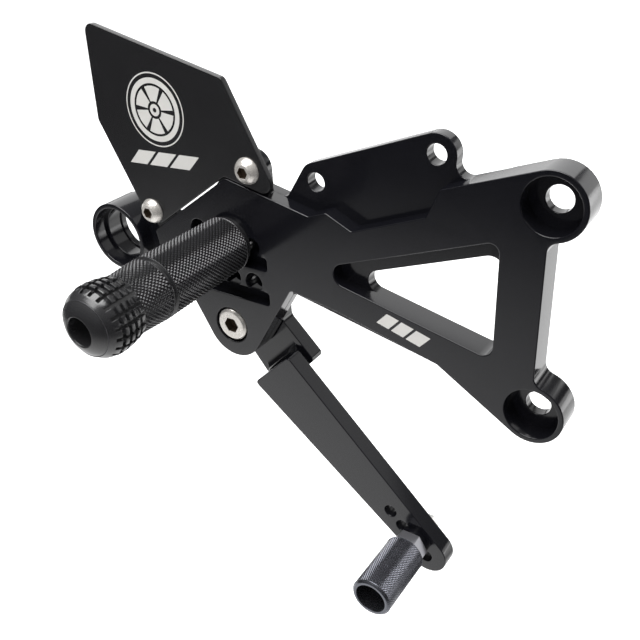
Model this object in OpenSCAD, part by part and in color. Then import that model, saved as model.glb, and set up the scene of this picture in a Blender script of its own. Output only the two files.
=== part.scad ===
// Rear set for a motorcycle: side plate with heel guard, foot peg and brake lever.
// X runs forward, Z runs up along the line of the two frame bolts, and Y runs from the
// rider's side to the frame. The origin lies on the back face, midway between the bolts.

/* [Side plate] */
// Full thickness of the plate
plate_t = 11.5; // [11:0.1:12]
// Thickness of the front layer, whose outline differs from that of the back layer
front_t = 6; // [5.5:0.1:6.5]
// Distance between the two frame bolts
bolt_pitch = 75; // [73:0.5:77]
// Outer radius of the frame bolt bosses
boss_r = 11.5; // [11:0.1:12]
// Diameter of the frame bolt counterbores
counterbore_d = 19; // [17:0.1:20]
// Depth of the frame bolt counterbores
counterbore_depth = 7.4; // [5:0.1:8.5]
// Diameter of the frame bolt holes
frame_hole_d = 9; // [8:0.1:11]
// Fillet between the upright bar and the bosses
bar_fillet_r = 4; // [3:0.5:6]
// Width of the upright bar between the window and its front edge
bar_w = 15; // [13:0.1:17]
// Height by which the back layer hangs below the front layer under the window
ledge_drop = 5; // [3:0.1:6]
// Height by which the back layer reaches into the window from above
window_ledge = 6.6; // [4:0.1:8]
// Depth by which the back is milled down beside its seat on the frame
back_relief = 0.5; // [0.3:0.1:0.8]
// Width of the seat beyond the upright bar
frame_seat_gap = 2; // [1:0.5:4]
// Radius of the back pad round the pivot
pivot_pad_r = 10; // [9:0.5:11]
// Radius of the back pads round the master cylinder holes
tab_pad_r = 5.8; // [5.4:0.1:6.2]

/* [Master cylinder tab] */
// Diameter of the holes for the master cylinder
tab_hole_d = 7.1; // [6:0.1:8.4]
// Distance between those holes
tab_hole_pitch = 50; // [47:0.5:52]
// Radius of the tab round its front hole
tab_r = 7.1; // [6.5:0.1:7.5]

/* [Peg positions] */
// Diameter of the tapped holes for the foot peg
position_hole_d = 7.8; // [6.8:0.1:8.2]
// Distance between the holes of a row
position_pitch = 10.4; // [10:0.1:11]
// Distance between the two rows
row_pitch = 15; // [14.5:0.1:15.5]
// Height of the keyway under each row
keyway_h = 5.6; // [5:0.1:6]
// Distance from a row of holes down to the middle of its keyway
keyway_drop = 6; // [5.6:0.1:6.4]
// Depth of the keyways
keyway_depth = 5; // [3:0.1:5.4]

/* [Hanger eye] */
// Outer diameter of the eye at the rear end
eye_d = 29.8; // [28.8:0.1:31]
// Length of the eye
eye_l = 16.5; // [15:0.1:18]
// Diameter of the counterbore in the front of the eye
eye_counterbore_d = 25.8; // [24.6:0.1:26.6]
// Depth of that counterbore
eye_counterbore_depth = 6.1; // [4:0.1:8]
// Diameter of the bore behind it
eye_bore_d = 22.6; // [21.8:0.1:24]
// Inner diameter of the lip at the back of the bore
eye_lip_d = 21.2; // [20:0.1:21.5]
// Length of that lip
eye_lip_l = 3; // [2:0.1:5]

/* [Heel guard] */
// Thickness of the heel guard, whose front face is flush with that of the plate
guard_t = 2.4; // [2:0.1:3.5]
// Gap between the heel guard and the edge of the side plate
guard_gap = 0.65; // [0.4:0.05:1]
// Radius of the plate's ears that carry the guard screws
ear_r = 7; // [6:0.1:7.2]
// Diameter of the guard screw heads
guard_head_d = 10.3; // [9.5:0.1:12]
// Height of the guard screw heads
guard_head_h = 3.3; // [2.8:0.1:4]
// Nominal diameter of the guard screws
guard_screw_d = 6; // [5:0.1:6.4]
// Width across the flats of the sockets in the guard screws
guard_socket_af = 4; // [3:0.1:4.5]

/* [Foot peg] */
// Radius of the knurled peg where it starts at the plate
peg_base_r = 11.3; // [10.8:0.1:11.8]
// Radius of the knurled peg at the joint between its two pieces
peg_joint_r = 12; // [11.5:0.1:12.4]
// Radius of the knurled peg just behind its toothed tip
peg_waist_r = 11.3; // [11.2:0.1:11.8]
// Length of the inner piece, from the plate to the joint
peg_base_l = 44.5; // [40:0.5:50]
// Length of the outer piece, from the joint to the tip
peg_tip_l = 33.4; // [32.5:0.1:37]
// Width of the groove at the joint
peg_groove_w = 0.8; // [0.4:0.1:1.5]
// Depth of the groove at the joint
peg_groove_depth = 1; // [0.5:0.1:1.5]
// Length of the plain neck between the plate and the knurling
peg_neck_l = 2.2; // [1:0.1:3]
// Radius of the plain neck
peg_neck_r = 10.4; // [9.5:0.1:10.6]
// Diameter of the bore in the tip
peg_bore_d = 10.4; // [10.3:0.1:11]
// Radius over the teeth of the tip
head_r = 13.1; // [12.8:0.1:13.8]
// Radius of the floor of the slots between the teeth
head_root_r = 11.2; // [10.8:0.1:11.4]
// Number of slots round the tip
head_slots = 20; // [16:1:24]
// Width of the slots and of the grooves between the teeth
tooth_gap = 1.3; // [1:0.1:1.6]
// Number of grooves that divide the ribs of the tip into teeth
head_grooves = 4; // [3:1:5]
// Radius of the spigot that centres the tip in the base
spigot_r = 8; // [7.5:0.1:8.5]
// Length of that spigot
spigot_l = 5; // [4:0.1:6]
// Length of the stud that holds the base to the plate
stud_l = 26; // [22:0.5:28]

/* [Brake lever] */
// Thickness of the lever's tail, behind the plate
tail_t = 7; // [6:0.1:8]
// Thickness of the lever's arm
arm_t = 7.5; // [6.5:0.1:8.5]
// Distance by which the arm stands in front of the plate's back face
arm_front = 9.5; // [8.5:0.1:10.5]
// Distance from the pivot to the jog between tail and arm
jog_s = 24.6; // [24:0.1:27]
// Length of the jog, where tail and arm overlap
jog_l = 7.9; // [6:0.1:9]
// Fillet in the front corner of the jog
jog_fillet_r = 4; // [2:0.1:4.5]
// Distance from the pivot to the toe peg along the arm
toe_s = 116; // [112:0.5:120]
// Distance between the holes for the toe peg
toe_pitch = 7.8; // [7.4:0.1:8.4]
// Diameter of those holes
toe_hole_d = 5.4; // [5.3:0.1:6]
// Diameter of the hole for the push rod's pin
rod_hole_d = 6; // [5:0.1:8]

/* [Lever pivot] */
// Diameter of the pivot bolt's shoulder
shoulder_d = 10; // [9:0.1:10.5]
// Diameter of the pivot bolt's head
pivot_head_d = 14; // [13:0.1:14.6]
// Diameter of the counterbore for the pivot bolt's head
pivot_counterbore_d = 15.8; // [15.2:0.1:17]
// Height of the pivot bolt's head
pivot_head_h = 5.4; // [4:0.1:6]
// Height by which the pivot bolt's head stands out of the plate
pivot_head_proud = 0.4; // [0:0.1:1]
// Width across the flats of the socket in the pivot bolt
pivot_socket_af = 6; // [4:0.1:7]
// Outer diameter of the bushes in the lever
bush_d = 13; // [12.2:0.1:14]
// Thickness of the flange on the front bush
front_flange_t = 0.6; // [0.5:0.1:1]
// Thickness of the flange on the rear bush
rear_flange_t = 1; // [0.6:0.1:1.5]
// Running clearance between a bush and the shoulder, on the radius
running_fit = 0.03; // [0.01:0.01:0.1]
// End float of the lever at each flange
end_float = 0.1; // [0.05:0.05:0.2]
// Thread diameter behind the shoulder
pivot_thread_d = 8; // [6:0.1:8.2]
// Thickness of the pivot washer
pivot_washer_t = 1.6; // [1:0.1:2.5]
// Height of the pivot nut
pivot_nut_h = 6; // [5:0.1:8]
// Width across the flats of the pivot nut
pivot_nut_af = 13; // [12:0.1:15]

/* [Toe peg] */
// Outer diameter of the knurled toe peg
toe_d = 16.6; // [15:0.1:18]
// Length of the knurled toe peg
toe_l = 28; // [25:0.5:32]
// Diameter of the bore in the open end of the toe peg
toe_bore_d = 12.6; // [11.5:0.1:13.5]
// Depth of that bore
toe_bore_depth = 20; // [15:0.5:22]
// Width across the flats of the hexagonal spacer
spacer_af = 13; // [11:0.1:14]
// Length of the hexagonal spacer
spacer_l = 5; // [4:0.1:8]
// Diameter of the round collar against the arm
collar_d = 13; // [11:0.1:15]
// Length of that collar
collar_l = 2.5; // [1.5:0.1:4]

/* [Hidden] */
$fn = 64;
// Clearance of a fastener in its hole and of a part seated in a recess
fit = 0.05;
// Overlap by which a cut runs past the face that it opens
cut = 1;
// Step in degrees of the short flats that make up a rounded corner
arc_step = 9;

front_y = -plate_t;
layer_y = front_t - plate_t;
guard_back_y = front_y + guard_t;
low_boss = [0, -bolt_pitch / 2];
top_boss = [0, bolt_pitch / 2];

// Directions of the straight edges, in degrees
bar_top_a = 20.3;
bar_root_a = 66;
strut_a = -32.2;
top_edge_a = -12.3;
rear_edge_a = 36.2;
lobe_front_a = 59.3;
belly_a = -13.6;
tab_a = 20.7;
tab_rear_a = 58.3;
window_top_a = 20.6;
window_low_a = -12.4;
ledge_a = -11.9;

// Corners of the outlines and centres of the features, as [x, z]
rear_tip = [-164, -4.5];
rear_low = [-162.6, -10.5];
lobe_rear = [-146.6, -32.9];
lobe_tip = [-127.6, -67.1];
throat = [-97.2, -15.7];
belly = [-77, -18.8];
bar_top_end = [-36.2, 36.4];
bar_root = [-40.8, 26];
arm_root = [-69.4, 14.8];
bump = [-79.8, 19.7];
top_dip = [-87.2, 16.8];
guard_corner = [-124, 24.8];
window_tip = [-88.6, -4.5];
pivot = [-128, -39.4];
eye = [-187.4, -12.9];
rear_screw = [-163.6, 4.1];
front_screw = [-112.8, 29.7];
tab_hole_rear = [-87.2, 27.7];
tab_rear_foot = [-100, 20];
peg = [-124.8, -1.3];
spring_hole = [-139.9, 1.3];
keyway_front_x = -107.4;
keyway_rear_x = -147;

// Places along and across the lever, measured from the pivot
lever_a = -45.2;
lever_front = 12.5;
lever_rear = -15.7;
arm_rear = -13.3;
arm_waist = -3.6;
toe_offset = 3.6;
toe_end_r = 8.2;
rod_eye = [-122, 1.3];
crank_x = -111;
crank_top = 9.5;

function polar(a) = [cos(a), sin(a)];
function side(a) = [-sin(a), cos(a)];
function unit(v) = v / norm(v);
function angle(v) = atan2(v.y, v.x);
function sharp(points) = [for (p = points) [p.x, p.y, 0]];
function soft(p, r) = [[p.x, p.y, r]];

// Crossing of the line through p at angle a with the line through q at angle b
function meet(p, a, q, b) = p + polar(a) * cross(q - p, polar(b)) / cross(polar(a), polar(b));

// Points of an arc round c from angle a0 to angle a1, ends included
function arc(c, r, a0, a1) =
    let (n = max(2, ceil(abs(a1 - a0) / arc_step)))
    [for (i = [0:n]) c + r * polar(a0 + (a1 - a0) * i / n)];

// Arc of radius r that rounds the corner b between a and c
function corner(a, b, c, r) =
    let (
        u = unit(a - b),
        v = unit(c - b),
        half = acos(u * v) / 2,
        centre = b + unit(u + v) * r / sin(half),
        a0 = angle(b + u * r / tan(half) - centre),
        turn = angle(b + v * r / tan(half) - centre) - a0,
        sweep = turn > 180 ? turn - 360 : turn < -180 ? turn + 360 : turn
    )
    arc(centre, r, a0, a0 + sweep);

// Closed outline through corners [x, z, r], each rounded by its own radius
function rounded(corners) =
    let (n = len(corners), at = [for (c = corners) [c.x, c.y]])
    [for (i = [0:n - 1])
        each corners[i][2] == 0
            ? [at[i]]
            : corner(at[(i + n - 1) % n], at[i], at[(i + 1) % n], corners[i][2])];

// Solid between two distances from the back face, over an outline in X and Z
module slab(y0, y1) {
    translate([0, y1, 0])
        rotate([90, 0, 0])
            linear_extrude(y1 - y0)
                children();
}

// Cylinder along Y between two distances from the back face
module rod(at, d, y0, y1) {
    translate([at.x, y1, at.y])
        rotate([90, 0, 0])
            cylinder(d = d, h = y1 - y0);
}

// Hexagonal bar along Y
module hexagon(at, af, y0, y1) {
    translate([at.x, y1, at.y])
        rotate([90, 0, 0])
            cylinder(d = af / cos(30), h = y1 - y0, $fn = 6);
}

// Body turned about Y from a profile of [radius, distance from the back face]
module turned(at, profile) {
    translate([at.x, 0, at.y])
        rotate([90, 0, 0])
            rotate_extrude()
                polygon([for (p = profile) [p.x, -p.y]]);
}

module washer(at, outer_d, inner_d, y0, y1) {
    difference() {
        rod(at, outer_d, y0, y1);
        rod(at, inner_d, y0 - cut, y1 + cut);
    }
}

// Screw with a cylindrical head, a hexagon socket and a plain shank
module socket_screw(at, d, seat_y, length, socket_af) {
    difference() {
        union() {
            rod(at, d * 1.66, seat_y - d, seat_y);
            rod(at, d, seat_y - 0.1, seat_y + length);
        }
        hexagon(at, socket_af, seat_y - d - cut, seat_y - d * 0.45);
    }
}

// Side plate: outlines

// Height and angle of the fillets between bar and bosses, seen from a boss
fillet_dz = sqrt(pow(boss_r + bar_fillet_r, 2) - pow(bar_fillet_r, 2));
fillet_a = atan2(fillet_dz, bar_fillet_r);
strut_foot = low_boss + boss_r * polar(strut_a - 90);
bar_top_foot = top_boss + boss_r * polar(bar_top_a + 90);

// Both layers share this edge: lower boss, upright bar and upper boss
front_edge = sharp(concat(
    arc(low_boss, boss_r, strut_a - 90, fillet_a),
    arc(low_boss + [bar_fillet_r, fillet_dz], bar_fillet_r, fillet_a + 180, 180),
    arc(top_boss + [bar_fillet_r, -fillet_dz], bar_fillet_r, 180, 180 - fillet_a),
    arc(top_boss, boss_r, -fillet_a, bar_top_a + 90)
));

// Both layers share the lobe that carries the lever
lobe_edge = concat(soft(lobe_rear, 8), soft(lobe_tip, 13.3));

front_outline = rounded(concat(
    front_edge,
    soft(meet(bar_top_foot, bar_top_a, bar_top_end, bar_root_a), 1.8),
    soft(bar_root, 1.2),
    soft(arm_root, 1.5),
    soft(bump, 1.8),
    soft(top_dip, 1),
    soft(guard_corner, 2.5),
    soft(rear_tip, 2),
    soft(rear_low, 3),
    lobe_edge,
    soft(throat, 2),
    soft(belly, 40),
    soft(meet(belly, belly_a, strut_foot, strut_a), 2)
));

// Tab for the master cylinder, blended into the top of the bar
tab_hole_front = tab_hole_rear + tab_hole_pitch * polar(tab_a);
tab_fillet_r = 4;
tab_rise = (tab_hole_front - bar_top_foot) * side(bar_top_a);
tab_run = sqrt(pow(tab_r + tab_fillet_r, 2) - pow(tab_rise - tab_fillet_r, 2));
tab_foot = tab_hole_front - tab_rise * side(bar_top_a) + tab_run * polar(bar_top_a);
tab_fillet = tab_foot + tab_fillet_r * side(bar_top_a);
tab_fillet_a = angle(tab_hole_front - tab_fillet);
tab_top = tab_hole_front + tab_r * side(tab_a);
tab_edge = concat(
    sharp(arc(tab_fillet, tab_fillet_r, bar_top_a + 270, tab_fillet_a)),
    sharp(arc(tab_hole_front, tab_r, tab_fillet_a - 180, tab_a + 90)),
    soft(meet(tab_rear_foot, tab_rear_a, tab_top, tab_a), 6),
    soft(meet(tab_rear_foot, tab_rear_a, top_dip, top_edge_a), 2)
);

// Ears for the guard screws, which stand on the front layer behind the heel guard
front_ear = rounded(concat(
    sharp([[-118, 18], [-103, 16]]),
    soft(meet(front_screw + [ear_r, 0], 90, top_dip, top_edge_a), 2),
    sharp(arc(front_screw, ear_r, 0, 130)),
    soft([-131.8, 19.1], 2),
    sharp([[-126, 16]])
));
rear_ear = rounded(concat(
    sharp([[-160, -8], [-150, -4]]),
    soft([-153, 3.6], 2),
    sharp(arc(rear_screw, ear_r, 55, 185))
));

// Web between the plate and the hanger eye
web_edge = concat(
    soft(guard_corner - 38.4 * polar(rear_edge_a), 2),
    sharp([eye + 13.9 * polar(50), eye + 13.9 * polar(-45)]),
    soft([-158, -17.5], 3)
);

ledge_foot = throat - [0, ledge_drop];
back_outline = rounded(concat(
    front_edge,
    tab_edge,
    soft(guard_corner, 2.5),
    web_edge,
    lobe_edge,
    soft(meet(lobe_tip, lobe_front_a, ledge_foot, ledge_a), 2),
    soft(meet(ledge_foot, ledge_a, strut_foot, strut_a), 3)
));

// Window between the arms, whose back half is smaller by a ledge along the top
window_low = meet(window_tip, window_low_a, [-bar_w, 0], 90);
window_top = meet(window_tip, window_top_a, [-bar_w, 0], 90);
window_step = window_top - [0, window_ledge];
window_step_tip = meet(window_step, window_top_a, window_tip, window_low_a);
front_window = rounded(concat(soft(window_tip, 4.5), soft(window_low, 4), soft(window_top, 3.2)));
back_window = rounded(concat(soft(window_step_tip, 4.5), soft(window_low, 4), soft(window_step, 5)));

// Side plate

// The lower row has three holes and the upper one two, with the spring hole behind them
row_z = [peg.y - row_pitch, peg.y];
row_holes = [3, 2];

module keyway(z) {
    low = z - keyway_drop - keyway_h / 2;
    high = z - keyway_drop + keyway_h / 2;
    slab(front_y - cut, front_y + keyway_depth)
        polygon(rounded([
            [keyway_rear_x, low, 1.4],
            [keyway_front_x, low, 1.4],
            [keyway_front_x, high, 1.4],
            [keyway_rear_x, high, 1.4]
        ]));
}

module frame_bolt_hole(at) {
    rod(at, counterbore_d, front_y - cut, front_y + counterbore_depth);
    rod(at, frame_hole_d, front_y, cut);
}

// The back bears on the frame with its bar, and on the other parts with pads round their holes
seat_edge_x = -bar_w - frame_seat_gap;
pads = [
    [pivot, pivot_pad_r],
    [tab_hole_rear, tab_pad_r],
    [tab_hole_front, tab_pad_r]
];

module back_layer() {
    difference() {
        slab(layer_y, 0) polygon(back_outline);
        difference() {
            slab(-back_relief, cut)
                polygon([[seat_edge_x, -200], [seat_edge_x, 200], [-300, 200], [-300, -200]]);
            for (pad = pads)
                rod(pad[0], 2 * pad[1], -back_relief - cut, 2 * cut);
        }
    }
}

module side_plate() {
    eye_back = front_y + eye_l;
    color("#17171a")
    difference() {
        union() {
            slab(front_y, layer_y) polygon(front_outline);
            back_layer();
            slab(guard_back_y, layer_y) polygon(front_ear);
            slab(guard_back_y, layer_y) polygon(rear_ear);
            rod(eye, eye_d, front_y, eye_back);
        }
        slab(front_y - cut, layer_y) polygon(front_window);
        slab(layer_y - cut, cut) polygon(back_window);
        frame_bolt_hole(low_boss);
        frame_bolt_hole(top_boss);
        rod(tab_hole_rear, tab_hole_d, layer_y - cut, cut);
        rod(tab_hole_front, tab_hole_d, layer_y - cut, cut);
        rod(eye, eye_counterbore_d, front_y - cut, front_y + eye_counterbore_depth);
        rod(eye, eye_bore_d, front_y, eye_back - eye_lip_l);
        rod(eye, eye_lip_d, front_y, eye_back + cut);
        for (row = [0, 1]) {
            keyway(row_z[row]);
            for (i = [0:row_holes[row] - 1])
                rod([peg.x + (1 - i) * position_pitch, row_z[row]], position_hole_d, front_y - cut, cut);
        }
        rod(spring_hole, position_hole_d, front_y - cut, front_y + keyway_depth);
        rod(pivot, pivot_counterbore_d, front_y - cut, pivot_seat_y);
        rod(pivot, shoulder_d + 2 * fit, front_y, cut);
        for (at = [rear_screw, front_screw])
            rod(at, guard_screw_d + 2 * fit, guard_back_y - cut, layer_y + cut);
    }
}

// Heel guard

guard_low_front = guard_corner + guard_gap * side(top_edge_a);
guard_low_rear = guard_corner + guard_gap * side(rear_edge_a);
guard_top_front = [-121.1, 62.1];
guard_rear = [-186.8, 38.6];
guard_outline = rounded(concat(
    soft(meet(guard_low_front, top_edge_a, guard_top_front, -62.6), 4.2),
    soft(guard_top_front, 2.5),
    soft([-185.6, 76.7], 3.5),
    soft(guard_rear, 4),
    soft(meet(guard_low_rear, rear_edge_a, guard_rear, -62.6), 6.6),
    soft(meet(guard_low_rear, rear_edge_a, guard_low_front, top_edge_a), 1.6)
));

module heel_guard() {
    color("#1b1b1e")
    difference() {
        slab(front_y, guard_back_y) polygon(guard_outline);
        for (at = [rear_screw, front_screw])
            rod(at, guard_screw_d + 0.4, front_y - cut, guard_back_y + cut);
    }
}

module button_screw(at) {
    head = guard_head_d / 2;
    head_y = front_y - guard_head_h;
    difference() {
        union() {
            turned(at, [
                [0, head_y],
                [head * 0.58, head_y],
                [head * 0.84, head_y + guard_head_h * 0.35],
                [head, front_y - 0.5],
                [head, front_y],
                [0, front_y]
            ]);
            rod(at, guard_screw_d, front_y - 0.1, layer_y - 0.3);
        }
        hexagon(at, guard_socket_af, head_y - cut, head_y + guard_head_h * 0.65);
    }
}

module heel_guard_screws() {
    color("#c9c6c2")
    for (at = [rear_screw, front_screw]) button_screw(at);
}

// Foot peg

peg_joint_y = front_y - peg_base_l;
peg_tip_y = peg_joint_y - peg_tip_l;
stud_d = position_hole_d - 2 * fit;
stud_back_y = -0.5;
stud_front_y = stud_back_y - stud_l;
peg_screw_d = 6;
peg_screw_seat_y = peg_joint_y - 8;
peg_washer_t = 1.6;

module peg_base() {
    knurl_y = front_y - peg_neck_l;
    groove_r = peg_joint_r - peg_groove_depth;
    color("#101012")
    difference() {
        turned(peg, [
            [0, front_y],
            [peg_neck_r, front_y],
            [peg_neck_r, knurl_y],
            [peg_base_r - 0.6, knurl_y],
            [peg_base_r, knurl_y - 0.6],
            [peg_joint_r, peg_joint_y + peg_groove_w + 0.6],
            [groove_r, peg_joint_y + peg_groove_w],
            [groove_r, peg_joint_y],
            [0, peg_joint_y]
        ]);
        rod(peg, stud_d + 2 * fit, stud_front_y - 1, cut);
        rod(peg, 2 * (spigot_r + fit), peg_joint_y - cut, peg_joint_y + spigot_l + 0.3);
        rod(peg, peg_screw_d + 2 * fit, peg_joint_y, peg_joint_y + 19);
    }
}

module peg_stud() {
    r = stud_d / 2;
    color("#8d8f92")
    turned(peg, [
        [0, stud_front_y],
        [r - 0.8, stud_front_y],
        [r, stud_front_y + 0.8],
        [r, stud_back_y - 0.8],
        [r - 0.8, stud_back_y],
        [0, stud_back_y]
    ]);
}

// Toothed head: its ends, its crown and the ring where the smooth dome starts
head_back_y = peg_tip_y + 18.6;
head_crown_y = peg_tip_y + 9.9;
head_front_y = peg_tip_y + 4.9;
head_l = head_back_y - head_front_y;
head_back_drop = 1.3;
head_front_drop = 1.2;
ring_y = peg_tip_y + 2.9;
ring_r = 10.3;
rim_r = peg_bore_d / 2 + 0.4;
dome_bulge = 0.35;
first_slot_a = 8;
// Depth by which the slots are deeper than the grooves between the teeth
slot_extra = 0.6;

// Point of the crowned profile, where t runs from -1 at the back to 1 at the front
function crown(t) = t < 0
    ? [head_r - head_back_drop * t * t, head_crown_y - t * (head_back_y - head_crown_y)]
    : [head_r - head_front_drop * t * t, head_crown_y - t * (head_crown_y - head_front_y)];

// Point of the dome, where t runs from 0 at its ring to 1 at the rim of the bore
function dome(t) =
    let (ring = [ring_r, ring_y], chord = [rim_r, peg_tip_y] - ring)
    ring + t * chord + dome_bulge * 4 * t * (1 - t) * side(angle(chord));

module foot_peg() {
    tooth_pitch = head_l / (head_grooves + 1);
    color("#101012")
    difference() {
        turned(peg, concat(
            [
                [0, peg_joint_y + spigot_l],
                [spigot_r, peg_joint_y + spigot_l],
                [spigot_r, peg_joint_y],
                [peg_joint_r - 0.7, peg_joint_y],
                [peg_joint_r, peg_joint_y - 0.7],
                [peg_waist_r, head_back_y]
            ],
            [for (t = [-1:0.25:1]) crown(t)],
            [for (t = [0:0.2:1]) dome(t)],
            [[peg_bore_d / 2, peg_tip_y + 0.4], [0, peg_tip_y + 0.4]]
        ));
        for (i = [0:head_slots - 1])
            translate([peg.x, head_front_y, peg.y])
                rotate([0, -first_slot_a - i * 360 / head_slots, 0])
                    translate([head_root_r, 0, -tooth_gap / 2])
                        cube([head_r, head_l + cut, tooth_gap]);
        for (i = [1:head_grooves]) {
            y = head_front_y + i * tooth_pitch;
            washer(peg, 2 * head_r + 2, 2 * (head_root_r + slot_extra), y - tooth_gap / 2, y + tooth_gap / 2);
        }
        rod(peg, peg_bore_d, peg_tip_y - cut, peg_screw_seat_y);
        rod(peg, peg_screw_d + 0.4, peg_tip_y, peg_joint_y + spigot_l + cut);
    }
}

module peg_screw() {
    color("#a5a5a8")
    socket_screw(peg, peg_screw_d, peg_screw_seat_y - peg_washer_t, 25, 5);
}

module peg_washer() {
    color("#b5b5b8")
    washer(peg, 10, peg_screw_d + 0.4, peg_screw_seat_y - peg_washer_t, peg_screw_seat_y);
}

// Brake lever

tail_front_y = end_float + front_flange_t;
tail_back_y = tail_front_y + tail_t;
arm_front_y = -arm_front;
arm_back_y = arm_front_y + arm_t;
jog_end_s = jog_s + jog_l;
arm_end_s = toe_s + toe_pitch;
bush_split_y = (tail_front_y + tail_back_y) / 2;

// Place in X and Z of a point on the lever, from its distances along and across
function on_lever(s, n) = pivot + s * polar(lever_a) + n * side(lever_a);

tail_outline = rounded(concat(
    soft(on_lever(jog_end_s, lever_rear), 2.5),
    soft(on_lever(jog_end_s, lever_front), 2),
    soft(meet(on_lever(0, lever_front), lever_a, [crank_x, 0], 90), 4),
    soft([crank_x, crank_top], 8),
    soft([-132.5, crank_top], 8),
    soft([-144.5, -37], 14)
));

arm_outline = rounded(concat(
    soft(on_lever(jog_s, arm_rear), 1.5),
    soft(on_lever(arm_end_s - 13, arm_waist), 30),
    sharp(arc(on_lever(arm_end_s, arm_waist + toe_end_r), toe_end_r, lever_a - 90, lever_a + 90)),
    soft(on_lever(jog_s, lever_front - 0.5), 1.5)
));

// Section of the jog along the lever, as [distance from the pivot, distance from the back face]
jog_section = rounded([
    [jog_s - jog_fillet_r - 0.2, tail_front_y, 0],
    [jog_s, tail_front_y, jog_fillet_r],
    [jog_s, arm_front_y, 0],
    [jog_end_s, arm_front_y, 0],
    [jog_end_s, tail_back_y, 0],
    [jog_s - jog_fillet_r - 0.2, tail_back_y, 0]
]);

module brake_lever() {
    color("#1d1d20")
    difference() {
        union() {
            slab(tail_front_y, tail_back_y) polygon(tail_outline);
            slab(arm_front_y, arm_back_y) polygon(arm_outline);
            translate([pivot.x, 0, pivot.y])
                rotate([0, -lever_a, 0])
                    translate([0, 0, arm_rear + 2])
                        linear_extrude(lever_front - arm_rear - 4.5)
                            polygon(jog_section);
        }
        rod(pivot, bush_d, tail_front_y - cut, tail_back_y + cut);
        rod(rod_eye, rod_hole_d, tail_front_y - cut, tail_back_y + cut);
        for (i = [-2:1])
            rod(on_lever(toe_s + i * toe_pitch, toe_offset), toe_hole_d, arm_front_y - cut, arm_back_y + cut);
    }
}

bush_bore_d = shoulder_d + 2 * running_fit;

module front_bush() {
    color("#a8803c")
    difference() {
        union() {
            rod(pivot, bush_d + 4, tail_front_y - front_flange_t, tail_front_y);
            rod(pivot, bush_d, tail_front_y - 0.1, bush_split_y - 0.2);
        }
        rod(pivot, bush_bore_d, -cut, tail_back_y);
    }
}

module rear_bush() {
    color("#a8803c")
    difference() {
        union() {
            rod(pivot, bush_d + 4, tail_back_y, tail_back_y + rear_flange_t);
            rod(pivot, bush_d, bush_split_y + 0.2, tail_back_y + 0.1);
        }
        rod(pivot, bush_bore_d, 0, tail_back_y + rear_flange_t + cut);
    }
}

// Lever pivot

pivot_head_y = front_y - pivot_head_proud;
pivot_seat_y = pivot_head_y + pivot_head_h;
shoulder_end_y = tail_back_y + rear_flange_t + end_float;
pivot_nut_y = shoulder_end_y + pivot_washer_t;

module pivot_bolt() {
    head = pivot_head_d / 2;
    shoulder = shoulder_d / 2;
    thread = pivot_thread_d / 2;
    end_y = pivot_nut_y + pivot_nut_h + 1.5;
    color("#c9c6c2")
    difference() {
        turned(pivot, [
            [0, pivot_head_y],
            [head - 0.9, pivot_head_y],
            [head, pivot_head_y + 0.9],
            [head, pivot_seat_y],
            [shoulder, pivot_seat_y],
            [shoulder, shoulder_end_y],
            [thread, shoulder_end_y],
            [thread, end_y - 0.8],
            [thread - 0.8, end_y],
            [0, end_y]
        ]);
        hexagon(pivot, pivot_socket_af, pivot_head_y - cut, pivot_head_y + pivot_head_h * 0.65);
    }
}

module pivot_washer() {
    color("#b5b5b8")
    washer(pivot, bush_d + 4, pivot_thread_d + 0.4, shoulder_end_y, pivot_nut_y);
}

module pivot_nut() {
    color("#b5b5b8")
    difference() {
        hexagon(pivot, pivot_nut_af, pivot_nut_y, pivot_nut_y + pivot_nut_h);
        rod(pivot, pivot_thread_d + 2 * fit, pivot_nut_y - cut, pivot_nut_y + pivot_nut_h + cut);
    }
}

// Toe peg

toe = on_lever(toe_s, toe_offset);
toe_screw_d = 5;
collar_y = arm_front_y - collar_l;
spacer_y = collar_y - spacer_l;
toe_tip_y = spacer_y - toe_l;
toe_floor_y = toe_tip_y + toe_bore_depth;
toe_washer_t = 1;
toe_nut_h = 5;
toe_nut_y = arm_back_y + toe_washer_t;

module toe_peg() {
    r = toe_d / 2;
    bore = toe_bore_d / 2;
    color("#26282c")
    difference() {
        turned(toe, [
            [0, spacer_y],
            [r - 0.8, spacer_y],
            [r, spacer_y - 0.8],
            [r, toe_tip_y + 0.9],
            [r - 0.9, toe_tip_y],
            [bore, toe_tip_y],
            [bore, toe_floor_y],
            [0, toe_floor_y]
        ]);
        rod(toe, toe_screw_d + 0.4, toe_tip_y, spacer_y + cut);
    }
}

module toe_spacer() {
    color("#77797c")
    difference() {
        hexagon(toe, spacer_af, spacer_y, collar_y);
        rod(toe, toe_screw_d + 0.4, spacer_y - cut, collar_y + cut);
    }
}

module toe_collar() {
    color("#1d1d20")
    washer(toe, collar_d, toe_screw_d + 0.4, collar_y, arm_front_y);
}

module toe_screw() {
    color("#a5a5a8")
    socket_screw(toe, toe_screw_d, toe_floor_y, toe_nut_y + toe_nut_h + 1 - toe_floor_y, 4);
}

module toe_washer() {
    color("#b5b5b8")
    washer(toe, 10, toe_screw_d + 0.4, arm_back_y, toe_nut_y);
}

module toe_nut() {
    color("#b5b5b8")
    difference() {
        hexagon(toe, 8, toe_nut_y, toe_nut_y + toe_nut_h);
        rod(toe, toe_screw_d + 2 * fit, toe_nut_y - cut, toe_nut_y + toe_nut_h + cut);
    }
}

side_plate();
heel_guard();
heel_guard_screws();
peg_base();
peg_stud();
foot_peg();
peg_screw();
peg_washer();
brake_lever();
front_bush();
rear_bush();
pivot_bolt();
pivot_washer();
pivot_nut();
toe_peg();
toe_spacer();
toe_collar();
toe_screw();
toe_washer();
toe_nut();
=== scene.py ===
"""Rear set footrest of a motorcycle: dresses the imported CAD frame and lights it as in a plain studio."""

import logging
import math
from collections.abc import Callable
from dataclasses import dataclass, field
from enum import Enum

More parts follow.
